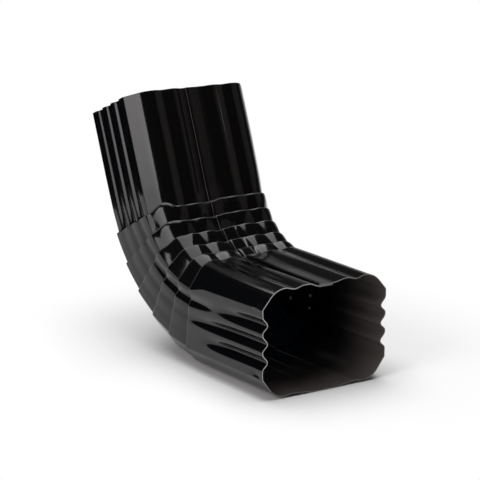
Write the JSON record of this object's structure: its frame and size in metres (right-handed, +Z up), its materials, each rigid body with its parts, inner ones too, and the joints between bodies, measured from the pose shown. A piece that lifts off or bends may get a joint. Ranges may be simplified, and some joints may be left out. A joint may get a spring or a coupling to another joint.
{
  "type": "downspout elbow",
  "caption": "Ribbed rectangular sheet-metal downspout elbow, bent by crimped folds, that turns rainwater from a down pipe to a nearly level outlet.",
  "frame": {"origin": "centre of the inlet opening", "axes": "+Z up, +X level along the outlet leg in the direction that the water leaves, +Y across the wide side; the inlet leg leans back 22 degrees from vertical"},
  "size_m": [0.1891, 0.0842, 0.1493],
  "materials": {
    "black_paint": "gloss black paint over aluminium sheet"
  },
  "bodies": {
    "root": {"elbow_shell": "black_paint"}
  },
  "joints": []
}
